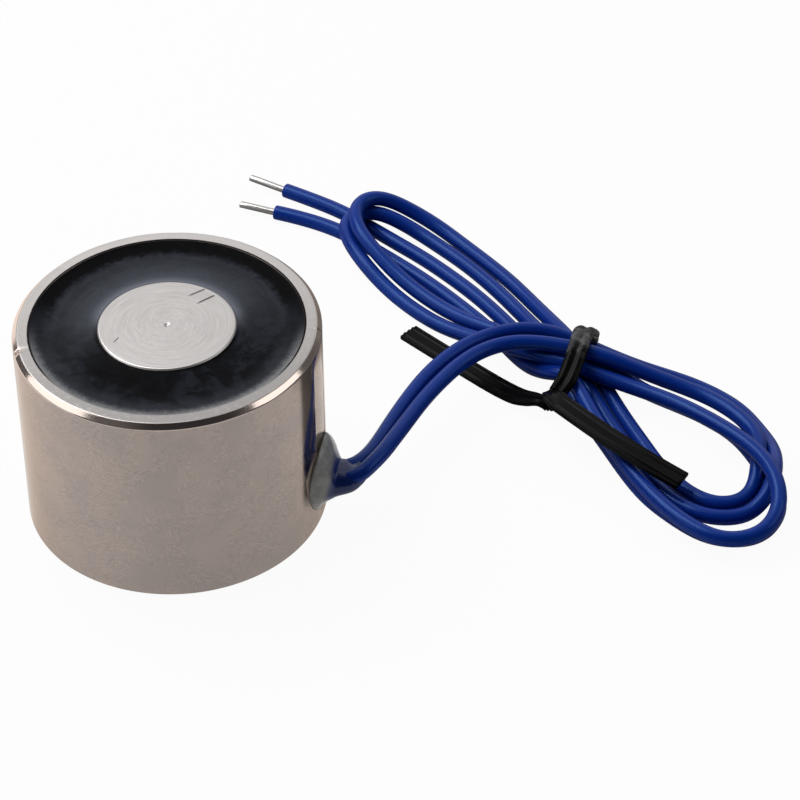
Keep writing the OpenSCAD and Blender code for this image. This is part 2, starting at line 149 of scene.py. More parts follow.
# Tie ribbon: x, y, z and the compass angle of its width, from the right tail's end to the left one's.
TIE = [
    (49.8, 7.6, 3.2, 57), (47.6, 8.5, 3.6, 57), (45.5, 9.4, 4, 57), (43.3, 10.6, 4.3, 57),
    (41.1, 11.9, 4.5, 56), (39.1, 13.2, 4.7, 54), (37.4, 14.4, 4.8, 50), (36.2, 15.4, 4.75, 42),
    (35.4, 16.5, 4.5, 30), (35, 17.2, 4.1, 22), (34.9, 17.9, 3.6, 14), (35.2, 18.3, 3.4, 2),
    (35.6, 18.7, 3.7, -12),
    (36.1, 19.5, 4.3, -14), (36.4, 20.6, 4.8, -10), (36.7, 22.2, 5.6, -6), (36.9, 23.8, 6.2, -5),
    (36.9, 25.3, 5.95, -5), (36.9, 26.6, 5.3, -5), (36.9, 27.8, 4.4, -5), (36.9, 29.1, 3.2, -5),
    (36.9, 30.3, 2.1, -5), (36.7, 30.7, 1.1, -5),
    (36.4, 29.9, 0.45, -5), (35.9, 27.8, 0.4, -5), (35.7, 26, 0.4, -5), (35.5, 22.3, 0.4, -5),
    (35.2, 20.4, 0.4, -5),
    (34.9, 19.2, 0.75, 0), (34.6, 18.4, 1.5, 15), (33.9, 18.6, 1.9, 35), (32.6, 19.4, 1.3, 50),
    (30.8, 20.5, 0.6, 54), (28, 22.2, 0.4, 56), (24.7, 24.3, 0.4, 57), (21.3, 26.5, 0.4, 57),
    (17.8, 28.8, 0.4, 57),
]


# User sizes and colours.


def colour(name, words, value):
    """A colour property, in linear light."""
    return FloatVectorProperty(
        name=name, description=words, subtype="COLOR", size=3, min=0, max=1, default=value)


def length(name, words, value):
    """A length property, given in millimetres and kept in metres."""
    return FloatProperty(
        name=name, description=words, unit="LENGTH", precision=5, min=0, default=value * MM)


class MAGNET_PG_metal(PropertyGroup):
    """Sizes and colours of the cup and the centre pole."""
    wall: length("Cup wall", "Thickness of the cup wall", 1.7)
    base: length("Cup base", "Thickness of the cup base", 3)
    rim_chamfer: length("Rim chamfer", "Bevel round the outside of the rim", 0.5)
    base_chamfer: length("Base chamfer", "Bevel round the foot of the cup", 0.4)
    pole_d: length("Pole diameter", "Diameter of the centre pole", 13.6)
    spigot_d: length("Spigot diameter", "Diameter of the pole where it enters the base", 9)
    thread_d: length("Thread diameter", "Tapping diameter of the mounting thread", 3.3)
    thread_pitch: length("Thread pitch", "Rise of the mounting thread in one turn", 0.7)
    nickel: colour("Nickel", "Plating on the wall of the cup", (0.50, 0.421, 0.376))
    ground: colour("Ground steel", "Faced metal of the rim and the pole", (0.60, 0.575, 0.565))


class MAGNET_PG_fill(PropertyGroup):
    """Sizes and colours of the potting and the seal."""
    step: length("Potting step", "Drop from the rim to the compound", 0.12)
    dip: length("Potting dip", "Sag of the compound half way to the pole", 0.22)
    epoxy: colour("Epoxy", "Potting compound", (0.0085, 0.0094, 0.0135))
    dust: colour("Dust", "Grinding dust left on the compound", (0.26, 0.265, 0.275))
    seal_d: length("Seal diameter", "Width of the sealant on the cup", 7.8)
    sealant: colour("Sealant", "Grey sealant at the lead exit", (0.29, 0.29, 0.28))


class MAGNET_PG_leads(PropertyGroup):
    """Sizes and colours of the leads and their tie."""
    lead_d: length("Lead diameter", "Outside of the insulation", 1.6)
    wire_d: length("Conductor diameter", "Tinned conductor", 0.76)
    bare_a: length("Bare end a", "Stripped length of lead a", 4.2)
    bare_b: length("Bare end b", "Stripped length of lead b", 4.6)
    tie_w: length("Tie width", "Width of the tie ribbon", 2.4)
    tie_t: length("Tie thickness", "Thickness of the tie ribbon", 0.8)
    blue: colour("Insulation", "Blue insulation", (0.0025, 0.0245, 0.235))
    black: colour("Tie plastic", "Black tie ribbon", (0.0028, 0.0028, 0.0032))
    tin: colour("Tinned copper", "Bare conductor ends", (0.58, 0.565, 0.55))


class MAGNET_PG_stage(PropertyGroup):
    """Light and floor."""
    floor: colour("Floor", "Colour of the floor", (0.8, 0.8, 0.8))
    ambient: FloatProperty(name="Ambient", description="Level of the light tent", min=0, default=1.0)
    key: FloatProperty(name="Key lamp", description="Power of the key lamp in watts", min=0, default=0.9)


class MAGNET_PG_settings(PropertyGroup):
    """All of the part's settings."""
    metal: PointerProperty(type=MAGNET_PG_metal)
    fill: PointerProperty(type=MAGNET_PG_fill)
    leads: PointerProperty(type=MAGNET_PG_leads)
    stage: PointerProperty(type=MAGNET_PG_stage)


# Surfaces.


def smoothstep(x, low, high):
    """0 below low, 1 above high, and 3t^2 - 2t^3 between them."""
    t = np.clip((np.asarray(x, float) - low) / (high - low), 0, 1)
    return t * t * (3 - 2 * t)


def waves(turn, count, seed, fall=1.0):
    """Sum of count cosines round the axis, the k-th turning k times, weighted 1/k^fall, about -1 to 1."""
    rng = np.random.default_rng(seed)
    k = np.arange(1, count + 1)
    phase = rng.uniform(0, 2 * np.pi, count)
    weight = rng.uniform(0.5, 1, count) / k ** fall
    return (weight * np.cos(np.multiply.outer(turn, k) + phase)).sum(-1) / weight.sum()


def unit(v):
    """Vectors divided by their lengths."""
    return v / np.linalg.norm(v, axis=-1, keepdims=True)


def round_angles(count):
    """Angles of count even places round a circle."""
    return np.linspace(0, 2 * np.pi, count, endpoint=False)


def squared(v, power):
    """Side of a superellipse: the size of v to a power, with the sign of v."""
    return np.sign(v) * np.abs(v) ** power


def smooth_path(points, per):
    """Catmull-Rom curve: each span is the cubic whose slope at a point is half its neighbours' chord."""
    p = np.asarray(points, float)
    p = np.vstack([2 * p[0] - p[1], p, 2 * p[-1] - p[-2]])
    a, b, c, d = (p[i:len(p) - 3 + i, None] for i in range(4))
    t = np.linspace(0, 1, per, endpoint=False)[None, :, None]
    span = 0.5 * (2 * b + (c - a) * t + (2 * a - 5 * b + 4 * c - d) * t ** 2
                  + (3 * b - a - 3 * c + d) * t ** 3)
    return np.vstack([span.reshape(-1, p.shape[1]), p[-2]])


def relaxed(path, rounds):
    """Path eased by a binomial filter: each inner point becomes (before + 2 itself + after) / 4."""
    for _ in range(rounds):
        path = np.vstack([path[:1], (path[:-2] + 2 * path[1:-1] + path[2:]) / 4, path[-1:]])
    return path


def run_length(path):
    """Distance along a path at each of its points."""
    return np.concatenate([[0], np.cumsum(np.linalg.norm(np.diff(path, axis=0), axis=1))])


def rounded(corners, radii, steps=6, margin=0.02):
    """Outline whose corners become small parabolic arcs, with one more point just outside each arc.

    corners has the shape (corner, place round the axis, 2). Each arc runs between points at the
    radius's distance from its corner on both sides, with the corner as its control point.
    """
    c = np.asarray(corners, float)
    before, after = unit(np.roll(c, 1, 0) - c), unit(np.roll(c, -1, 0) - c)
    rad = np.asarray(radii, float)[:, None, None]
    start, end = c + before * rad, c + after * rad
    u = np.linspace(0, 1, steps)[None, :, None, None]
    arc = (1 - u) ** 2 * start[:, None] + 2 * u * (1 - u) * c[:, None] + u ** 2 * end[:, None]
    outer = margin * (rad > 0)
    rows = np.concatenate([(start + before * outer)[:, None], arc, (end + after * outer)[:, None]], 1)
    return rows.reshape(-1, c.shape[1], 2)


def grid_faces(rows, cols, close_rows=False):
    """Quads over a grid of rows by cols points that closes across its columns."""
    i = np.arange(rows if close_rows else rows - 1)[:, None]
    j = np.arange(cols)[None, :]
    n, k = (i + 1) % rows, (j + 1) % cols
    return np.stack([i * cols + j, n * cols + j, n * cols + k, i * cols + k], -1).reshape(-1, 4)


def end_fans(rows, cols, first, last):
    """First and last ring of a grid, each with the middle point that closes it."""
    ring = np.arange(cols)
    return [(ring, first), (ring[::-1] + (rows - 1) * cols, last)]


def add_piece(name, points, quads, fans=(), attributes=None):
    """Mesh object at the origin from points in millimetres.

    fans are rings of point numbers, each closed by triangles to a new point at its middle. Faces are
    turned outward by the sign of the volume, the sum of each face's corner dotted with its area.
    """
    points = np.asarray(points, float).reshape(-1, 3)
    triangles = []
    for ring, centre in fans:
        points = np.vstack([points, centre])
        triangles.append(np.stack([ring, np.roll(ring, -1), np.full(len(ring), len(points) - 1)], -1))
    tri = np.vstack(triangles) if triangles else np.zeros((0, 3), int)
    both = np.vstack([quads[:, [0, 1, 2]], quads[:, [0, 2, 3]]])
    if len(tri):
        both = np.vstack([both, tri])
    a, b, c = (points[both[:, k]] for k in range(3))
    if np.einsum("ij,ij->i", a, np.cross(b, c)).sum() < 0:
        quads, tri = quads[:, ::-1], tri[:, ::-1]
    mesh = bpy.data.meshes.new(name)
    mesh.from_pydata((points * MM).tolist(), [], quads.tolist() + tri.tolist())
    for key, (kind, values) in (attributes or {}).items():
        layer = mesh.attributes.new(key, kind, "POINT")
        flat = np.zeros((len(points), values.shape[-1] if values.ndim > 1 else 1), np.float32)
        flat[:len(values)] = values.reshape(len(values), -1)
        layer.data.foreach_set("vector" if kind == "FLOAT_VECTOR" else "value", flat.ravel())
    mesh.shade_smooth()
    mesh.update()
    obj = bpy.data.objects.new(name, mesh)
    bpy.context.scene.collection.objects.link(obj)
    return obj


def turned(radius, height, turn):
    """Points of a turned shape: (r cos a, r sin a, z) for the rows of an outline and the angles a."""
    return np.stack([radius * np.cos(turn), radius * np.sin(turn), height + 0 * turn], -1)


def sweep(path, side, up, across, rise):
    """Points of a section carried along a path: path + across * side + rise * up."""
    return path[:, None] + across[..., None] * side[:, None] + rise[..., None] * up[:, None]


def lay_frame(path):
    """Level side and upward directions along a path, from its slope by central differences."""
    t = unit(np.gradient(path, axis=0))
    side = unit(np.cross((0, 0, 1), t))
    return t, side, np.cross(t, side)


def finish_piece(obj, material, nodes=()):
    """Gives a piece its finish, its body and the CAD nodes that it stands for."""
    obj.data.materials.clear()
    obj.data.materials.append(material)
    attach(obj, BODY)
    if nodes:
        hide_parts(*nodes)
    return obj


# Shader expressions.


class Wire:
    """An output socket of a finish. Arithmetic on it adds Math nodes."""

    def __init__(self, finish, socket):
        self.finish, self.socket = finish, socket

    def maths(self, operation, *values, clamp=False):
        """A Math node on the values."""
        return self.finish.node("ShaderNodeMath", {"operation": operation, "use_clamp": clamp},
                                dict(enumerate(values)))

    def __add__(self, other):
        return self.maths("ADD", self, other)

    def __sub__(self, other):
        return self.maths("SUBTRACT", self, other)

    def __rsub__(self, other):
        return self.maths("SUBTRACT", other, self)

    def __mul__(self, other):
        return self.maths("MULTIPLY", self, other)

    def __truediv__(self, other):
        return self.maths("DIVIDE", self, other)

    def __pow__(self, other):
        return self.maths("POWER", self, other)

    def __abs__(self):
        return self.maths("ABSOLUTE", self)

    def limit(self):
        """The value held between 0 and 1."""
        return self.maths("ADD", self, 0.0, clamp=True)

    __radd__, __rmul__ = __add__, __mul__


class Finish:
    """A material or a world in the making, built from expressions on its sockets."""

    def __init__(self, name, group=None):
        self.owner = (bpy.data.materials if group is None else group).new(name)
        self.owner.use_nodes = True
        self.tree = self.owner.node_tree
        self.tree.nodes.clear()

    def node(self, kind, settings=None, sockets=None, out=0):
        """Adds a node: its settings first, then values or links for its sockets."""
        made = self.tree.nodes.new(kind)
        for key, value in (settings or {}).items():
            setattr(made, key, value)
        for key, value in (sockets or {}).items():
            if isinstance(value, Wire):
                self.tree.links.new(value.socket, made.inputs[key])
            else:
                made.inputs[key].default_value = value
        return Wire(self, made.outputs[out])

    def place(self):
        """Object coordinates in millimetres, and their x, y and z."""
        at = self.node("ShaderNodeTexCoord", out="Object")
        mm = self.node("ShaderNodeVectorMath", {"operation": "SCALE"}, {0: at, "Scale": 1 / MM})
        return (mm, *(self.node("ShaderNodeSeparateXYZ", None, {0: mm}, out=k) for k in range(3)))

    def attribute(self, name, out="Fac"):
        """A value that the mesh carries at its points."""
        return self.node("ShaderNodeAttribute", {"attribute_name": name}, out=out)

    def vector(self, x, y, z):
        """Three values as one vector."""
        return self.node("ShaderNodeCombineXYZ", None, {0: x, 1: y, 2: z})

    def stretched(self, at, factors):
        """A vector times one factor for each axis."""
        return self.node("ShaderNodeVectorMath", {"operation": "MULTIPLY"}, {0: at, 1: factors})

    def noise(self, at, scale, detail=3.0, rough=0.5, warp=0.0):
        """Fractal noise, about 0.3 to 0.7."""
        return self.node("ShaderNodeTexNoise", None, {
            "Vector": at, "Scale": scale, "Detail": detail, "Roughness": rough, "Distortion": warp})

    def ease(self, value, low, high):
        """Smooth step from 0 at low to 1 at high."""
        return self.node("ShaderNodeMapRange", {"interpolation_type": "SMOOTHSTEP"},
                         {"Value": value, "From Min": low, "From Max": high})

    def bell(self, value, middle, width):
        """1 at middle, falling smoothly to 0 at width on both sides."""
        return self.ease(abs(value - middle), width, 0.0)

    def mix(self, share, first, second):
        """Blend of two colours."""
        pair = {i: (*c, 1.0) if isinstance(c, tuple) else c for i, c in ((6, first), (7, second))}
        return self.node("ShaderNodeMix", {"data_type": "RGBA"}, {0: share, **pair}, out=2)

    def bump(self, height, depth, strength):
        """Normal bent by a height given as a share of a depth in millimetres."""
        return self.node("ShaderNodeBump", None, {
            "Strength": strength, "Distance": depth * MM, "Height": height})

    def surface(self, **sockets):
        """Closes the finish with a Principled shader."""
        values = {key.replace("_", " "): (*v, 1.0) if isinstance(v, tuple) else v
                  for key, v in sockets.items()}
        self.node_output(self.node("ShaderNodeBsdfPrincipled", None, values))
        return self.owner

    def node_output(self, shader, kind="ShaderNodeOutputMaterial"):
        """Links a shader to the output of the material or world."""
        made = self.tree.nodes.new(kind)
        self.tree.links.new(shader.socket, made.inputs["Surface"])


def tinted(rgb, gain):
    """A colour made lighter or darker."""
    return tuple(min(1.0, c * gain) for c in rgb)


def facing(x, y, r, aim):
    """Cosine of the angle round the axis from a level direction."""
    return (x * aim[0] + y * aim[1]) / r


def hairlines(f, x, y, z):
    """Short hairlines in patches of three slants on the unrolled wall: noise drawn out along each."""
    arc = f.node("ShaderNodeMath", {"operation": "ARCTAN2"}, {0: y, 1: x}) * CUP_R
    patch = f.noise(f.vector(x, y, z), 0.22, 2, 0.5)
    total = 0.5
    for slant, middle in ((0.65, 0.435), (-0.35, 0.50), (1.9, 0.565)):
        c, s = math.cos(slant), math.sin(slant)
        lines = f.vector((arc * c + z * s) * 1.7, (z * c - arc * s) * 9.0, slant)
        lines = f.noise(lines, 1.0, 3, 0.6, 1.0)
        total = total + (lines - 0.5) * f.bell(patch, middle, 0.09)
    return total


def nickel_finish(metal):
    """Bright nickel on the wall: clouded colour and swirled hairlines.

    The rim is ground in circles, with painted light that makes it lighter at the back and painted
    shade on its inner edge, except at the front.
    """
    f = Finish("nickel_plate")
    at, x, y, z = f.place()
    r = (x * x + y * y) ** 0.5
    cloud = f.ease(f.noise(at, 0.2, 4, 0.6), 0.35, 0.65)
    grain = f.noise(at, 7.0, 4, 0.7)
    swirl = f.noise(at, 1.1, 7, 0.75, 3.0)
    hair = f.bell(swirl, 0.5, 0.05)
    strokes = hairlines(f, x, y, z)
    rim = f.ease(z, CUP_H - 0.06, CUP_H - 0.015)
    rings = f.noise(f.vector(x / r * 1.2, y / r * 1.2, r * 14.0), 1.0, 4, 0.6)
    nickel = tuple(metal.nickel)
    cool = (nickel[0] * 0.90, nickel[1] * 0.93, nickel[2] * 0.97)
    wall = f.mix(cloud, tinted(nickel, 1.02), cool)
    wall = f.mix(hair * 0.25, wall, tinted(nickel, 0.8))
    wall = f.mix(f.ease(strokes, 0.52, 0.68) * 0.75, wall, tinted(nickel, 0.72))
    wall = f.mix(f.ease(strokes, 0.47, 0.32) * 0.75, wall, tinted(nickel, 1.2))
    wall = f.mix(f.ease(swirl, 0.55, 0.75) * 0.5, wall, tinted(nickel, 1.16))
    wall = f.mix(f.ease(grain, 0.62, 0.8) * 0.3, wall, tinted(nickel, 0.55))
    # Painted light: the rim's ground face is lighter towards the back and darker towards the front.
    painted_rim_light = f.ease(facing(x, y, r, LIT_RIM_AIM), -1.1, 1.1)
    faced = f.mix(painted_rim_light, tinted(metal.ground, 0.60), tinted(metal.ground, 1.06))
    faced = f.mix(f.ease(rings, 0.5, 0.66) * 0.35, faced, tinted(metal.ground, 0.62))
    faced = f.mix(f.ease(f.noise(at, 1.6, 5, 0.7), 0.52, 0.7) * 0.4, faced, tinted(metal.ground, 1.0))
    away = facing(x, y, r, AWAY)
    # Painted shade: a near-black band on the rim's inner edge, except at the front.
    painted_edge_shade = f.ease(r + (grain - 0.5) * 0.15, CUP_R - 1.46, CUP_R - 1.54) * f.ease(away, -0.8, -0.45)
    faced = f.mix(painted_edge_shade, faced, (0.006, 0.006, 0.007))
    # Painted highlight: the chamfer is a brighter copy of the nickel, so the highlights it reflects come out
    # brighter.
    cut = f.ease(z, CUP_H - 0.62, CUP_H - 0.5)
    wall = f.mix(cut, wall, tinted(nickel, 1.7))
    rough = (0.07 + 0.06 * hair + 0.03 * cloud) * (1 - rim) + rim * (0.3 + 0.15 * rings)
    height = (grain * 0.5 + swirl * 0.5) * (1 - rim) + rings * rim
    return f.surface(Base_Color=f.mix(rim, wall, faced), Metallic=1.0, Roughness=rough,
                     Specular_Tint=(0.9, 0.8, 0.72), Normal=f.bump(height, 0.006, 0.6))


def scratch(f, x, y, start, end, width):
    """1 on a straight scratch between two points, fading over its width and towards its ends."""
    (x0, y0), (x1, y1) = start, end
    run = math.hypot(x1 - x0, y1 - y0)
    c, s = (x1 - x0) / run, (y1 - y0) / run
    along = (x - x0) * c + (y - y0) * s
    off = (y - y0) * c - (x - x0) * s
    inside = f.ease(along, 0.0, run * 0.3) * f.ease(along, run, run * 0.85)
    return f.bell(off, 0.0, width) * inside


def pole_finish(metal):
    """Faced steel with turning rings round the middle and a few scratches."""
    f = Finish("faced_steel")
    at, x, y, z = f.place()
    r = (x * x + y * y + 1e-6) ** 0.5
    wander = f.noise(at, 0.5, 2)
    rings = f.noise(f.vector(x / r * 1.5, y / r * 1.5, r * 6.0 + wander * 1.5), 1.0, 5, 0.7)
    arcs = f.noise(f.vector(x / r * 2.6 + 5.0, y / r * 2.6, r * 3.4), 1.0, 2, 0.5)
    grain = f.noise(at, 9.0, 3, 0.6)
    face = f.ease(z, CUP_H - 0.06, CUP_H - 0.03)
    marks = f.bell(arcs, 0.5, 0.035) * f.ease(r, 6.6, 2.2)
    groove = sum(scratch(f, x, y, *line) for line in SCRATCHES).limit()
    ground = tuple(metal.ground)
    base = f.mix(f.ease(rings, 0.3, 0.7), tinted(ground, 0.86), tinted(ground, 1.06))
    base = f.mix(marks * 0.35, base, tinted(ground, 0.55))
    base = f.mix(f.ease(grain, 0.6, 0.75) * 0.2, base, tinted(ground, 0.7))
    base = f.mix(groove, base, tinted(ground, 0.08))
    height = rings * 0.6 + grain * 0.25 - marks * 0.5 - groove * 4.0
    return f.surface(Base_Color=base, Metallic=1.0, Roughness=0.30 + 0.14 * rings + 0.1 * (1 - face),
                     Normal=f.bump(height, 0.012, 0.55))


def potting_finish(fill, pole_r, inner_r):
    """Cast black epoxy: smudges, pits and dust along the rim, with painted reflections (sheen, a pale
    glow round the pole and a haze by the rim at the front) and painted shade (under the rim at the
    back, in a pool in front of the pole and round the pole's foot at the front).
    """
    f = Finish("black_epoxy")
    at, x, y, _ = f.place()
    r = (x * x + y * y) ** 0.5
    ragged = f.noise(at, 1.5, 6, 0.7)
    fine = f.noise(at, 8.0, 4, 0.65)
    cloud = f.ease(f.noise(at, 0.42, 6, 0.64, 0.5), 0.43, 0.57)
    wipe_and_back_light = f.noise(f.vector(x / r * 1.6, y / r * 1.6, r * 2.2), 1.0, 4, 0.6)
    away = facing(x, y, r, AWAY)
    edge = r + (ragged - 0.5) * 0.9 + (fine - 0.5) * 0.5
    sky = facing(x, y, r, SKY)
    torn = r + (f.noise(at, 1.1, 7, 0.72, 0.4) - 0.5) * 2.0
    # Painted reflection: sheen towards the bright sky at the back, strongest by the pole.
    sheen = f.ease(sky, -1.0, 0.6) * f.ease(torn, inner_r - 0.9, inner_r - 2.2) * 0.085
    sheen = sheen + f.ease(sky, -0.4, 0.75) * f.ease(edge, inner_r - 2.3, pole_r + 0.5) * 0.16
    sheen = sheen * (0.2 + 1.1 * ragged + 0.5 * fine)
    # Painted reflection: a pale haze by the rim at the front.
    painted_haze = f.ease(edge, inner_r - 2.8, inner_r - 1.1) * f.ease(away, 0.1, -0.4) * 0.075
    # Painted reflection: a pale glow round the pole at the back.
    painted_glow = f.ease(r + (ragged - 0.5) * 0.7, pole_r + 1.9, pole_r - 0.3) * f.ease(away, -0.35, 0.35)
    dusty = f.ease(edge, inner_r - 1.3, inner_r + 0.1) * f.ease(away, 0.15, -0.45)
    # Painted shade under the rim at the back.
    shade = f.ease(torn, inner_r - 2.2, inner_r - 1.1) * f.ease(away, 0.0, 0.4)
    blots = (1 - cloud) * f.ease(away, 0.4, -0.4) * f.ease(r, inner_r - 0.9, inner_r - 2.2)
    specks = f.ease(fine, 0.68, 0.74)
    # Painted shade round the foot of the pole at the front.
    foot = f.ease(r, pole_r + 0.5, pole_r + 0.1) * f.ease(away, 0.2, -0.4)
    epoxy, dust, reflected_sky_tone = tuple(fill.epoxy), tuple(fill.dust), (0.22, 0.235, 0.28)
    base = f.mix(cloud, tinted(epoxy, 0.85), tinted(epoxy, 1.5))
    # Wipe marks, lightened towards the back by painted light.
    base = f.mix(f.ease(wipe_and_back_light, 0.45, 0.7) * f.ease(away, -0.6, 0.6), base, tinted(epoxy, 1.9))
    base = f.mix(blots * 0.8, base, tinted(epoxy, 0.3))
    base = f.mix((sheen + painted_haze).limit(), base, reflected_sky_tone)
    # Painted shade: a dark pool in front of the pole.
    painted_pool_shade = f.ease(facing(x, y, r, PAINTED_SHADE_AIM), 0.72, 0.97)
    painted_pool_shade = painted_pool_shade * f.ease(r + (ragged - 0.5) * 4.0, pole_r + 3.9, pole_r + 2.2)
    base = f.mix(painted_pool_shade * 0.85, base, tinted(epoxy, 0.1))
    base = f.mix(foot, base, tinted(epoxy, 0.1))
    base = f.mix(shade, base, tinted(epoxy, 0.15))
    base = f.mix((painted_glow ** 2.2 * 0.7).limit(), base, reflected_sky_tone)
    base = f.mix((dusty ** 1.6 * (0.4 + fine)).limit(), base, dust)
    base = f.mix(specks * 0.2, base, dust)
    rough = 0.30 + 0.2 * cloud + 0.1 * (fine - 0.5) + 0.25 * dusty
    return f.surface(Base_Color=base, Roughness=rough, Specular_IOR_Level=0.03,
                     Normal=f.bump(ragged * 0.8 + fine * 0.3, 0.06, 0.6))


def lead_finish(leads):
    """Smooth blue insulation with faint lengthwise streaks and scuffs."""
    f = Finish("blue_insulation")
    lay = f.attribute("lay", "Vector")
    at = f.place()[0]
    streak = f.noise(f.stretched(lay, (2.4, 2.4, 0.08)), 1.0, 3, 0.6)
    cloud = f.noise(at, 0.16, 3, 0.5)
    scuff = f.ease(f.noise(at, 3.0, 5, 0.7), 0.6, 0.75)
    blue = tuple(leads.blue)
    base = f.mix(f.ease(streak, 0.3, 0.7), tinted(blue, 0.86), tinted(blue, 1.12))
    base = f.mix(f.ease(cloud, 0.4, 0.65) * 0.5, base, (blue[0] * 1.3, blue[1] * 1.25, blue[2] * 1.1))
    base = f.mix(scuff * 0.08, base, (0.10, 0.13, 0.30))
    return f.surface(Base_Color=base, Roughness=0.22 + 0.08 * streak + 0.1 * scuff,
                     Specular_IOR_Level=0.4, Specular_Tint=(0.26, 0.5, 1.0),
                     Normal=f.bump(streak + scuff * 0.4, 0.012, 0.2))


def tin_finish(leads):
    """Dull tin over twisted strands, in a grain of lighter and darker tin."""
    f = Finish("tinned_copper")
    at = f.place()[0]
    grain = f.noise(at, 6.0, 4, 0.6)
    tin = tuple(leads.tin)
    base = f.mix(f.ease(grain, 0.35, 0.7), tinted(tin, 0.8), tinted(tin, 1.0))
    return f.surface(Base_Color=base, Metallic=1.0, Roughness=0.30 + 0.1 * grain,
                     Normal=f.bump(grain, 0.01, 0.3))


def tie_finish(leads):
    """Black drawn plastic with fine lines along it and worn, greyer ridges, and a painted highlight on the
    top bend.
    """
    f = Finish("tie_plastic")
    lay = f.attribute("lay", "Vector")
    at, *_, z = f.place()
    lines = f.noise(f.stretched(lay, (6.0, 6.0, 0.12)), 1.0, 3, 0.6)
    ridge = f.attribute("ridge")
    rub = f.ease(f.noise(at, 1.3, 4, 0.6), 0.4, 0.7)
    black = tuple(leads.black)
    base = f.mix(f.ease(lines, 0.3, 0.7), tinted(black, 0.7), tinted(black, 1.5))
    base = f.mix(ridge * rub * 0.2, base, (0.012, 0.012, 0.013))
    # Painted highlight: paler grey on the top bend of the loop.
    base = f.mix(f.ease(z + rub * 0.8, 6.1, 7.1) * 0.8, base, (0.14, 0.14, 0.145))
    return f.surface(Base_Color=base, Roughness=0.24 + 0.12 * lines, Specular_IOR_Level=0.07,
                     Normal=f.bump(lines, 0.03, 0.4))


def seal_finish(fill, leads):
    """Cured grey sealant that thins to a clear skin over the blue leads."""
    f = Finish("grey_sealant")
    at = f.place()[0]
    thin = f.attribute("thin")
    cloud = f.noise(at, 0.9, 4, 0.6)
    grey, blue = tuple(fill.sealant), tuple(leads.blue)
    base = f.mix(f.ease(cloud, 0.3, 0.7), tinted(grey, 0.75), tinted(grey, 1.25))
    skin = (blue[0] * 1.5, blue[1] * 0.8, blue[2] * 0.6)
    base = f.mix(f.ease(thin + (cloud - 0.5) * 0.5, 0.2, 0.9), base, skin)
    return f.surface(Base_Color=base, Roughness=0.08 + 0.1 * cloud, Specular_IOR_Level=0.5,
                     Normal=f.bump(cloud, 0.12, 0.35))


def hidden_finish(name, light, dark, scale, metallic, rough, stretch=(1, 1, 1)):
    """Two-tone grain for the parts of the coil: scale is in grains per millimetre."""
    f = Finish(name)
    grain = f.noise(f.stretched(f.place()[0], stretch), scale, 3, 0.6)
    share = f.ease(grain, 0.35, 0.65)
    return f.surface(Base_Color=f.mix(share, dark, light), Metallic=metallic,
                     Roughness=rough + 0.15 * share, Normal=f.bump(share, 0.02, 0.5))


# Operators.


def settings(context):
    """The part's settings in the scene."""
    return context.scene.holding_magnet


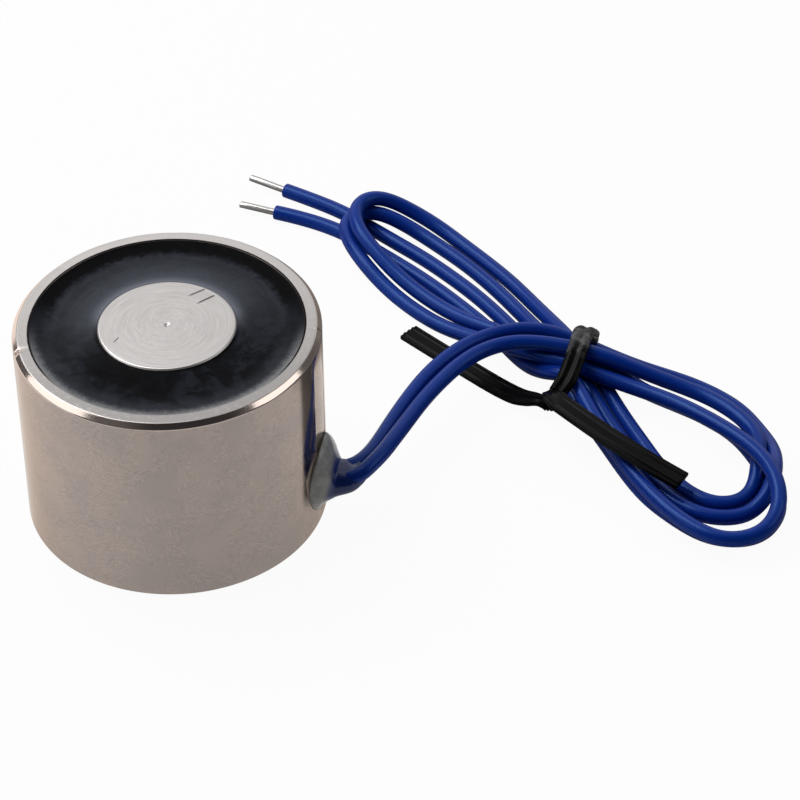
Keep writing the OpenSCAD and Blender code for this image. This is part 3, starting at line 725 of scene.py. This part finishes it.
class MAGNET_OT_leads(Operator):
    """Two insulated leads on their routes, with stripped and tinned ends"""
    bl_idname = "magnet.leads"
    bl_label = "Leads"

    SIDES = 24

    def route(self, side, run):
        """Points from the splice round the coil, through the wall and along the run outside."""
        turn = np.radians([32, 24, 16])
        arc = np.stack([GAP_R * np.cos(turn), side * GAP_R * np.sin(turn), 0 * turn + EXIT_Z], -1)
        bend = ((GAP_R - 0.1, EXIT_Y + 1.8), (GAP_R + 0.25, EXIT_Y + 0.6),
                (GAP_R + 1, EXIT_Y + 0.1), (CUP_R, EXIT_Y))
        return np.vstack([arc, [(x, side * y, EXIT_Z) for x, y in bend], run])

    def insulation(self, name, path, r, wire_r):
        """Tube: a circle along the path, whose last rings turn in over the cut end to the conductor."""
        t, side, up = lay_frame(path)
        turn = np.linspace(0, np.pi / 2, 6)
        lip = 0.12
        ends = path[-1] + np.outer(lip * np.sin(turn) - lip, t[-1])
        ends = np.vstack([ends, path[-1] - 0.02 * t[-1], path[-1] - 0.25 * t[-1]])
        end_r = np.concatenate([r - lip * (1 - np.cos(turn)), [wire_r + 0.06, wire_r + 0.02]])
        line = np.vstack([path[:-1], ends])
        radius = np.concatenate([np.full(len(path) - 1, r), end_r])[:, None]
        side = np.vstack([side[:-1], np.repeat(side[-1:], len(ends), 0)])
        up = np.vstack([up[:-1], np.repeat(up[-1:], len(ends), 0)])
        a = round_angles(self.SIDES)
        points = sweep(line, side, up, radius * np.cos(a), radius * np.sin(a))
        along = run_length(line)[:, None]
        lay = np.stack(np.broadcast_arrays(np.cos(a), np.sin(a), along), -1).reshape(-1, 3)
        faces = grid_faces(len(line), self.SIDES)
        fans = end_fans(len(line), self.SIDES, line[0], line[-1])
        return add_piece(name, points, faces, fans, {"lay": ("FLOAT_VECTOR", lay)})

    def bare_end(self, name, path, r, bare, cut):
        """Seven strands in tin: radius r (1 - k + k cos(7 a - twist s)), closed by a nipped end."""
        t, side, up = lay_frame(path)
        nose = bare - 0.1 + 0.1 * np.sin(np.linspace(0.3, 1.57, 5))
        s = np.concatenate([np.linspace(-0.3, bare - 0.1, 60), nose])
        a = round_angles(42)
        lobes = 1 - 0.025 + 0.025 * np.cos(7 * a[None] - 1.1 * s[:, None])
        close = np.sqrt(np.clip(1 - (np.clip(s - bare + 0.12, 0, None) / 0.14) ** 2, 0.02, 1))
        nip = smoothstep(s, bare - 1.1, bare - 0.1) * cut
        line = path[-1] + np.outer(s, t[-1])
        wide = lobes * (close * (1 + 0.25 * nip))[:, None] * r
        flat = lobes * (close * (1 - 0.35 * nip))[:, None] * r
        sides, ups = np.repeat(side[-1:], len(s), 0), np.repeat(up[-1:], len(s), 0)
        points = sweep(line, sides, ups, wide * np.cos(a), flat * np.sin(a))
        fans = end_fans(len(s), len(a), line[0], line[-1])
        return add_piece(name, points, grid_faces(len(s), len(a)), fans)

    def execute(self, context):
        leads = settings(context).leads
        r, wire_r = leads.lead_d / MM / 2, leads.wire_d / MM / 2
        blue, tin = lead_finish(leads), tin_finish(leads)
        pair = (("a", 1, LEAD_A, leads.bare_a, 0.3), ("b", -1, LEAD_B, leads.bare_b, 0.2))
        for key, side, run, bare, cut in pair:
            path = relaxed(smooth_path(self.route(side, run), 8), 30)
            path[:, 2] = np.maximum(path[:, 2], r)
            lead = self.insulation(f"lead_{key}_insulation", path, r, wire_r)
            finish_piece(lead, blue, [f"lead_{key}"])
            end = self.bare_end(f"lead_{key}_bare_end", path, wire_r, bare / MM, cut)
            finish_piece(end, tin, [f"lead_{key}_tip"])
            lead["route"] = (path * MM).ravel().tolist()
        return {"FINISHED"}


class MAGNET_OT_cup(Operator):
    """Nickel-plated cup with an uneven polished chamfer painted brighter as a highlight, nicks on its rim
    and the lead hole
    """
    bl_idname = "magnet.cup"
    bl_label = "Cup"

    AROUND = 720
    HOLE_R = 1.9

    def execute(self, context):
        metal = settings(context).metal
        turn = round_angles(self.AROUND)
        one = np.ones_like(turn)
        inner, spigot = CUP_R - metal.wall / MM, metal.spigot_d / MM / 2
        rim = metal.rim_chamfer / MM * (1 + 0.16 * waves(turn, 24, SEED, 0.6))
        foot, base = metal.base_chamfer / MM, metal.base / MM
        corners = np.stack([np.stack([a * one, b * one], -1) for a, b in (
            (spigot, 0), (CUP_R - foot, 0), (CUP_R, foot), (CUP_R, CUP_H - rim),
            (CUP_R - rim, CUP_H), (inner, CUP_H), (inner, base), (spigot, base))])
        outline = rounded(corners, (0.05, 0.12, 0.12, 0.12, 0.10, 0.10, 0.1, 0.05))
        r, z = outline[..., 0], outline[..., 1]
        # Nicks: a dent of Gaussian width in arc length, deepest on the corner of the rim.
        near_edge = smoothstep(z, CUP_H - 0.9, CUP_H - 0.3) * smoothstep(r, inner + 0.5, inner + 1.1)
        for at, width, depth in NICKS:
            arc = np.radians((np.degrees(turn) - at + 180) % 360 - 180) * CUP_R
            dent = depth * np.exp(-(arc / width) ** 2) * near_edge
            r, z = r - dent, z - dent * 0.8
        cup = add_piece("cup_nickel_plated", turned(r, z, turn), grid_faces(len(r), self.AROUND, True))
        self.bore(cup)
        finish_piece(cup, nickel_finish(metal), ["housing_cup"])
        return {"FINISHED"}

    def bore(self, cup):
        """Cuts the lead hole: a cylinder along x through the wall."""
        a = round_angles(64)
        x = np.array([CUP_R - 4, CUP_R + 2.0])
        points = np.stack(np.broadcast_arrays(
            x[:, None], self.HOLE_R * np.cos(a), EXIT_Z + self.HOLE_R * np.sin(a)), -1)
        fans = end_fans(2, len(a), (x[0], 0, EXIT_Z), (x[1], 0, EXIT_Z))
        drill = add_piece("drill", points, grid_faces(2, len(a)), fans)
        cut = cup.modifiers.new("lead_hole", "BOOLEAN")
        cut.object, cut.operation, cut.solver = drill, "DIFFERENCE", "EXACT"
        bored = bpy.data.meshes.new_from_object(cup.evaluated_get(bpy.context.evaluated_depsgraph_get()))
        cup.modifiers.clear()
        cup.data = bored
        bpy.data.objects.remove(drill)


class MAGNET_OT_pole(Operator):
    """Centre pole with a faced end, a centre mark and the mounting thread in its foot"""
    bl_idname = "magnet.pole"
    bl_label = "Pole"

    AROUND = 360
    FACE_ROWS = 40
    THREAD_ROWS = 94

    def execute(self, context):
        metal = settings(context).metal
        turn = round_angles(self.AROUND)
        pole, spigot, bore = (d / MM / 2 for d in (metal.pole_d, metal.spigot_d, metal.thread_d))
        base, edge, mark, lead_in, deep = metal.base / MM, 0.2, 0.30, 0.5, 7.0
        corners = np.array([(bore + lead_in, 0), (spigot, 0), (spigot, base), (pole, base),
                            (pole, CUP_H - edge), (pole - edge, CUP_H), (mark, CUP_H), (0.02, CUP_H - 0.2)])
        outer = rounded(corners[:, None], (0.0, 0.05, 0.05, 0.05, 0.08, 0.08, 0.08, 0.0))[:, 0]
        # The first and last corners are sharp, so one point stands for each. The face lies past the sixth.
        per = len(outer) // len(corners)
        outer = np.vstack([outer[:1], outer[per:1 - per]])
        split = 1 + 5 * per
        face = np.linspace(pole - edge - 0.15, mark + 0.15, self.FACE_ROWS)
        face = np.stack([face, np.full_like(face, CUP_H)], -1)
        outline = np.vstack([outer[:split], face, outer[split:]])
        wall = np.linspace(deep, lead_in, self.THREAD_ROWS)
        tip = np.array([(0.02, deep + bore * 0.6), (bore * 0.5, deep + bore * 0.3)])
        profile = np.vstack([tip, np.stack([np.full_like(wall, bore), wall], -1), outline])
        r = np.repeat(profile[:, :1], self.AROUND, 1)
        z = np.repeat(profile[:, 1:], self.AROUND, 1)
        # Thread: a triangle wave of height over the pitch, turning with the angle, cut into the bore.
        ramp = (z / (metal.thread_pitch / MM) - turn / (2 * np.pi)) % 1
        row = np.arange(len(r))[:, None] - len(tip)
        inside = (row >= 0) & (row < len(wall))
        fade = smoothstep(z, lead_in, lead_in + 0.3) * smoothstep(z, deep, deep - 0.4)
        r = r + inside * fade * 0.33 * (1 - abs(2 * ramp - 1))
        points = turned(r, z, turn)
        fans = end_fans(len(r), self.AROUND, (0, 0, deep + bore * 0.6 + 0.005), (0, 0, CUP_H - 0.205))
        piece = add_piece("pole_faced", points, grid_faces(len(r), self.AROUND), fans)
        finish_piece(piece, pole_finish(metal), ["centre_pole"])
        return {"FINISHED"}


class MAGNET_OT_potting(Operator):
    """Cast compound between the pole and the cup, with a meniscus, waves and pits on its face"""
    bl_idname = "magnet.potting"
    bl_label = "Potting"

    AROUND = 720
    ROWS = 90

    def execute(self, context):
        s = settings(context)
        fill, metal = s.fill, s.metal
        pole, inner = metal.pole_d / MM / 2, CUP_R - metal.wall / MM
        turn = round_angles(self.AROUND)[None]
        share = np.linspace(0, 1, self.ROWS)[:, None]
        r = pole + (inner - pole) * (0.5 - 0.5 * np.cos(np.pi * share)) + 0 * turn
        t = (r - pole) / (inner - pole)
        # Face: a sine dip between the edges, two menisci, slow waves, and pits at drawn places.
        z = CUP_H - fill.step / MM - fill.dip / MM * np.sin(np.pi * t) ** 0.8
        z = z + 0.05 * np.exp(-(r - pole) / 0.2) * (0.6 + 0.4 * waves(turn, 9, SEED + 1))
        z = z + 0.06 * np.exp(-(inner - r) / 0.25) * (0.4 + 0.6 * waves(turn, 15, SEED + 2))
        z = z + 0.03 * np.sin(np.pi * t) * waves(turn + 1.7 * t, 12, SEED + 3)
        z = z + 0.02 * np.sin(np.pi * t) * waves(3 * turn - 4.0 * t, 14, SEED + 4)
        rng = np.random.default_rng(SEED + 5)
        x, y = r * np.cos(turn), r * np.sin(turn)
        for _ in range(14):
            spot = rng.uniform(pole + 0.4, inner - 0.3)
            a = rng.uniform(0, 2 * np.pi)
            size = rng.uniform(0.06, 0.14)
            gap = (x - spot * np.cos(a)) ** 2 + (y - spot * np.sin(a)) ** 2
            z = z - 0.25 * size * np.exp(-gap / size ** 2)
        # Underside, as radius and height: down the wall, in to the tape, up beside it and in to the pole.
        low, floor, tape_r, deck = 17.8, 6.6, 12.0, 19.2
        skirt = np.array([(inner, low), (inner, floor), (tape_r, floor), (tape_r, low),
                          (inner - 0.4, deck), (pole, deck)])
        under = turned(skirt[:, :1], skirt[:, 1:], turn[0])
        points = np.concatenate([np.stack([x, y, z], -1), under])
        piece = add_piece("potting_cast", points, grid_faces(len(points), self.AROUND, True))
        finish_piece(piece, potting_finish(fill, pole, inner), ["potting_compound"])
        return {"FINISHED"}


class MAGNET_OT_seal(Operator):
    """Sealant flared onto the cup and drawn out to a skin along the two leads"""
    bl_idname = "magnet.seal"
    bl_label = "Seal"

    AROUND = 96

    def execute(self, context):
        s = settings(context)
        fill = s.fill
        flare = fill.seal_d / MM / 2
        # Middle line between the leads, from inside the lead hole to where the skin ends.
        middle = ((13.6, 0), (15, 0), (16.2, 0), (17.2, 0.1), (18.0, 0.55), (18.6, 1.35))
        middle = smooth_path([(x, y, EXIT_Z) for x, y in middle], 10)
        far = run_length(middle) - 1.4
        _, side, up = lay_frame(middle)
        out = np.clip(far, 0, None)
        a = round_angles(self.AROUND)[None]
        # Upper side: a dome, a half-ellipse over the distance out. Lower side: a fillet that decays with it.
        dome = np.clip(1 - (out / 1.6) ** 2, 0, 1) ** 1.5
        fillet = np.exp(-(out / 1.5) ** 1.1)
        upper = smoothstep(np.sin(a), -0.7, 0.5)
        spread = dome[:, None] * upper + fillet[:, None] * (1 - upper)
        band_w, band_h, neck = 1.83, 0.98, 1.8
        wide = band_w + (flare - band_w) * spread - 0.65 * smoothstep(out, 2.4, 4.0)[:, None]
        tall = band_h + (flare - band_h) * spread - 0.45 * smoothstep(out, 2.4, 3.8)[:, None]
        sunk = smoothstep(far, -0.25, 0.0)[:, None]
        wide, tall = (neck + (v - neck) * sunk for v in (wide, tall))
        # Superellipse from a circle on the cup to a flatter band round the pair.
        power = (1.0 - 0.14 * smoothstep(out, 0.3, 2.0))[:, None]
        lump = 1 + 0.03 * waves(a[0], 5, SEED + 8) * np.exp(-out / 1.2)[:, None]
        across = wide * squared(np.cos(a), power) * lump
        rise = tall * squared(np.sin(a), power) * lump
        points = sweep(middle, side, up, across, rise)
        # Next to the cup the sealant follows its round wall.
        hug = np.sqrt(CUP_R ** 2 - np.clip(points[..., 1], -9, 9) ** 2) - CUP_R
        points[..., 0] += hug * (1 - smoothstep(out, 0.0, 1.4))[:, None] * (far > -0.3)[:, None]
        faces = grid_faces(len(middle), self.AROUND)
        fans = end_fans(len(middle), self.AROUND, middle[0], middle[-1])
        thin = smoothstep(out[:, None] - 0.35 * upper, 0.3, 1.3).ravel()
        piece = add_piece("seal_sealant", points, faces, fans, {"thin": ("FLOAT", thin)})
        finish_piece(piece, seal_finish(fill, s.leads), ["lead_seal"])
        return {"FINISHED"}


class MAGNET_OT_tie(Operator):
    """Ribbed twist tie round the hank, with its two flat tails"""
    bl_idname = "magnet.tie"
    bl_label = "Tie"

    AROUND = 72
    CORE_AT, CORE_RUN, CORE_R = (37.1, 26.7, 4.55), (1.25, -0.4, -0.25), 0.35

    def execute(self, context):
        leads = settings(context).leads
        w, thick = leads.tie_w / MM / 2, leads.tie_t / MM / 2
        rows = smooth_path(TIE, 10)
        path, width = rows[:, :3], np.radians(rows[:, 3])
        path[:, 2] = np.maximum(path[:, 2], thick)
        t = unit(np.gradient(path, axis=0))
        level = np.stack([np.cos(width), np.sin(width), 0 * width], -1)
        up = unit(np.cross(t, level))
        side = np.cross(up, t)
        along = run_length(path)
        a = round_angles(self.AROUND)[None]
        u = squared(np.cos(a), 0.55)
        # Four ribs on the tails turn into two beads where the ribbon is bent over the leads.
        loop = (smoothstep(along, 19, 22.5) * (1 - smoothstep(along, 36, 40)))[:, None]
        ribs = 0.80 + 0.20 * np.cos(8 * np.pi * u / 2)
        # The ribbon is narrower where it is folded, before the loop and after it.
        pinch = 1 - 0.3 * np.exp(-((along - 19.2) / 1.5) ** 2) - 0.5 * np.exp(-((along - 48.4) / 1.6) ** 2)
        beads = 0.45 + 0.60 * np.abs(np.sin(np.pi * u)) ** 0.8
        shape = (1 - loop) * ribs + loop * beads
        rise = thick * shape * squared(np.sin(a), 0.45)
        points = sweep(path, side, up, w * (1 - 0.1 * loop) * pinch[:, None] * u, rise)
        lay = np.stack(np.broadcast_arrays(u, np.sin(a), along[:, None]), -1).reshape(-1, 3)
        fans = end_fans(len(path), self.AROUND, path[0], path[-1])
        made = {"lay": ("FLOAT_VECTOR", lay), "ridge": ("FLOAT", smoothstep(shape, 0.85, 1.0).ravel())}
        tie = add_piece("tie_ribbon", points, grid_faces(len(path), self.AROUND), fans, made)
        finish_piece(tie, tie_finish(leads), ["twist_tie"])
        core = hidden_finish("tie_core", (0.16, 0.155, 0.15), (0.07, 0.07, 0.07), 4.0, 0.0, 0.4)
        finish_piece(self.core_end(), core)
        return {"FINISHED"}

    def core_end(self):
        """Cut end of the core, in the furrow between the leads: a short tube with a rounded end."""
        s = np.linspace(0, 1, 24)
        line = np.array(self.CORE_AT) + np.outer(s, self.CORE_RUN)
        r = self.CORE_R * np.sqrt(np.clip(1 - ((s - 0.94) / 0.07).clip(0, 1) ** 2, 0.3, 1))[:, None]
        _, side, up = lay_frame(line)
        a = round_angles(24)
        points = sweep(line, side, up, r * np.cos(a), r * np.sin(a))
        fans = end_fans(len(s), len(a), line[0], line[-1])
        return add_piece("tie_core_end", points, grid_faces(len(s), len(a)), fans)


class MAGNET_OT_coil(Operator):
    """Finishes for the bobbin, winding, tape and splices inside the cup"""
    bl_idname = "magnet.coil"
    bl_label = "Coil"

    def execute(self, context):
        tin = tuple(settings(context).leads.tin)
        copper = hidden_finish("enamelled_copper", (0.60, 0.24, 0.09), (0.34, 0.11, 0.04),
                               1.0, 1.0, 0.25, (0.3, 0.3, 5.0))
        tape = hidden_finish("coil_tape", (0.72, 0.48, 0.07), (0.62, 0.40, 0.05),
                             2.0, 0.0, 0.3, (0.2, 0.2, 4.0))
        moulded = hidden_finish("bobbin_plastic", (0.78, 0.74, 0.62), (0.70, 0.66, 0.54), 3.0, 0.0, 0.4)
        sleeve = hidden_finish("sleeve_plastic", (0.02, 0.02, 0.02), (0.01, 0.01, 0.01), 6.0, 0.0, 0.4)
        solder = hidden_finish("soldered_joint", tin, tinted(tin, 0.7), 5.0, 1.0, 0.25)
        finishes = {
            "bobbin": moulded, "coil_winding": copper, "coil_tape": tape,
            "splice_joint_a": solder, "splice_joint_b": solder,
            "splice_sleeve_a": sleeve, "splice_sleeve_b": sleeve,
        }
        for name, material in finishes.items():
            node = frame["nodes"][name]
            node.data.materials.clear()
            node.data.materials.append(material)
        return {"FINISHED"}


class MAGNET_OT_stage(Operator):
    """White floor, a dim light tent with a bright back and a dark front, lamps and the camera"""
    bl_idname = "magnet.stage"
    bl_label = "Stage"

    EYE = (76.781, -253.549, 237.740)
    RIGHT = (0.98028, 0.19722, -0.01274)
    DOWN = (0.11872, -0.63920, -0.75982)
    LENS = 158.893

    def set_axes(self, obj, at, right, up, back):
        """Places an object at a point in metres, with its x, y and z axes along three directions."""
        rows = np.stack([right, up, back], -1)
        obj.matrix_world = Matrix([(*row, e) for row, e in zip(rows, at)] + [(0, 0, 0, 1)])

    def camera(self, scene):
        """Camera at the eye point, looking square to the picture's right and down directions."""
        data = bpy.data.cameras.new("camera")
        data.lens, data.sensor_width = self.LENS, 36
        data.clip_start, data.clip_end = 0.01, 20
        cam = bpy.data.objects.new("camera", data)
        right, up = unit(np.array(self.RIGHT)), -unit(np.array(self.DOWN))
        self.set_axes(cam, np.array(self.EYE) * MM, right, up, np.cross(right, up))
        scene.collection.objects.link(cam)
        scene.camera = cam

    def floor(self, stage):
        """Square at z = 0, white to the camera with a share of lit paper that keeps the shadows.

        Mirrors see it greyer, with painted shade: its level falls towards the front, in a painted
        shadow of the leads in a strip beside them where they leave the cup, and under the hank.
        """
        reach = 3000
        points = [(-reach, -reach, 0), (reach, -reach, 0), (reach, reach, 0), (-reach, reach, 0)]
        floor = add_piece("floor", points, np.array([[0, 1, 2, 3]]))
        f = Finish("floor_paper")
        path = [f.node("ShaderNodeLightPath", out=k) for k in
                ("Is Camera Ray", "Is Glossy Ray", "Is Transmission Ray")]
        _, x, y, _ = f.place()
        front = facing(x, y, (x * x + y * y + 80.0) ** 0.5, FRONT)
        share = (path[0] * 0.95 + path[1] * 0.85 + path[2] * 0.9).limit()
        # Painted shadow of the leads: a strip on the floor from where they leave the cup.
        along = (x - 17.3) * 0.663 + (y + 0.2) * 0.75
        off = (x - 17.3) * 0.75 - (y + 0.2) * 0.663
        lead_shadow_strip = f.ease(off - along * 0.12, 2.6, 1.6) * f.ease(off, -5.0, -3.5) * f.ease(along, -1.0, 2.0)
        # Painted shade under the hank.
        under = f.ease(x * 0.6 + y * 0.8, 25.0, 33.0)
        shade = (1 - lead_shadow_strip * f.ease(along, 27.0, 20.0) * 0.9) * (1 - under * 0.85)
        # Mirrors see painted shade: darker towards the front, in the leads' shadow strip and under the hank;
        # the camera sees white.
        level = path[0] * 0.8333 + (1 - path[0]) * (0.69 - front * 0.22) * shade
        paper = f.node("ShaderNodeBsdfDiffuse", None, {"Color": (*stage.floor, 1)})
        glow = f.node("ShaderNodeEmission", None, {
            "Color": f.mix(level, (0.0, 0.0, 0.0), (1.0, 1.0, 1.0)), "Strength": 1.2})
        f.node_output(f.node("ShaderNodeMixShader", None, {0: share, 1: paper, 2: glow}))
        floor.data.materials.append(f.owner)

    def tent(self, scene, stage):
        """World: a dim tent, bright high at the back, dark in a cone to the front, white to the camera."""
        f = Finish("light_tent", bpy.data.worlds)
        scene.world = f.owner
        aim = f.node("ShaderNodeTexCoord", out="Generated")
        back, front = (f.node("ShaderNodeVectorMath", {"operation": "DOT_PRODUCT"},
                              {0: aim, 1: tuple(unit(np.array(v)))}, out="Value")
                       for v in ((-0.2, 0.74, 0.64), (0.33, -0.60, 0.73)))
        sky = f.mix(f.ease(back, 0.5, 0.85), (0.10, 0.10, 0.10), (0.77, 0.77, 0.77))
        sky = f.mix(f.ease(front, 0.80, 0.94), sky, (0.03, 0.03, 0.032))
        tent = f.node("ShaderNodeBackground", None, {"Color": sky, "Strength": stage.ambient})
        white = f.node("ShaderNodeBackground", None, {"Color": (1, 1, 1, 1), "Strength": 1.0})
        seen = f.node("ShaderNodeLightPath", out="Is Camera Ray")
        both = f.node("ShaderNodeMixShader", None, {0: seen, 1: tent, 2: white})
        f.node_output(both, "ShaderNodeOutputWorld")

    def lamp(self, scene, name, at, size, power):
        """Square lamp at a point in metres, turned towards the part."""
        data = bpy.data.lights.new(name, "AREA")
        data.shape, data.size, data.energy = "SQUARE", size, power
        lamp = bpy.data.objects.new(name, data)
        back = unit(np.array(at, float) - np.array((0.02, 0.02, 0.0)))
        right = unit(np.cross((0, 0, 1), back))
        self.set_axes(lamp, at, right, np.cross(back, right), back)
        scene.collection.objects.link(lamp)

    def execute(self, context):
        scene, stage = context.scene, settings(context).stage
        scene.view_settings.view_transform = "Standard"
        self.camera(scene)
        self.floor(stage)
        self.tent(scene, stage)
        self.lamp(scene, "key", (-0.165, 0.076, 0.31), 0.22, stage.key * 0.75)
        self.lamp(scene, "left", (-0.406, -0.104, 0.273), 0.36, stage.key * 0.55)
        self.lamp(scene, "right", (0.414, 0.08, 0.269), 0.28, stage.key * 0.32)
        return {"FINISHED"}


class MAGNET_OT_cords(Operator):
    bl_idname = "magnet.cords"
    bl_label = "Declare cords"

    def execute(self, context):
        pieces = bpy.data.objects
        for key, side, extra in (("a", 1, ["seal_sealant", "tie_ribbon", "tie_core_end"]), ("b", -1, [])):
            lead = pieces[f"lead_{key}_insulation"]
            del lead["route"]
        return {"FINISHED"}


class MAGNET_PT_panel(Panel):
    """Lists the steps that build the part"""
    bl_idname = "MAGNET_PT_panel"
    bl_label = "Holding Electromagnet"
    bl_space_type = "VIEW_3D"
    bl_region_type = "UI"
    bl_category = "Electromagnet"

    def draw(self, context):
        for step in STEPS:
            self.layout.operator(step.bl_idname)


STEPS = (MAGNET_OT_stage, MAGNET_OT_leads, MAGNET_OT_cup, MAGNET_OT_pole, MAGNET_OT_potting,
         MAGNET_OT_seal, MAGNET_OT_tie, MAGNET_OT_coil, MAGNET_OT_cords)
CLASSES = (MAGNET_PG_metal, MAGNET_PG_fill, MAGNET_PG_leads, MAGNET_PG_stage, MAGNET_PG_settings,
           *STEPS, MAGNET_PT_panel)


def register():
    for cls in CLASSES:
        bpy.utils.register_class(cls)
    bpy.types.Scene.holding_magnet = PointerProperty(type=MAGNET_PG_settings)


def unregister():
    del bpy.types.Scene.holding_magnet
    for cls in reversed(CLASSES):
        bpy.utils.unregister_class(cls)


def main():
    register()
    bpy.ops.magnet.stage()
    bpy.ops.magnet.leads()
    bpy.ops.magnet.cup()
    bpy.ops.magnet.pole()
    bpy.ops.magnet.potting()
    bpy.ops.magnet.seal()
    bpy.ops.magnet.tie()
    bpy.ops.magnet.coil()
    bpy.ops.magnet.cords()


if __name__ == "__main__":
    main()
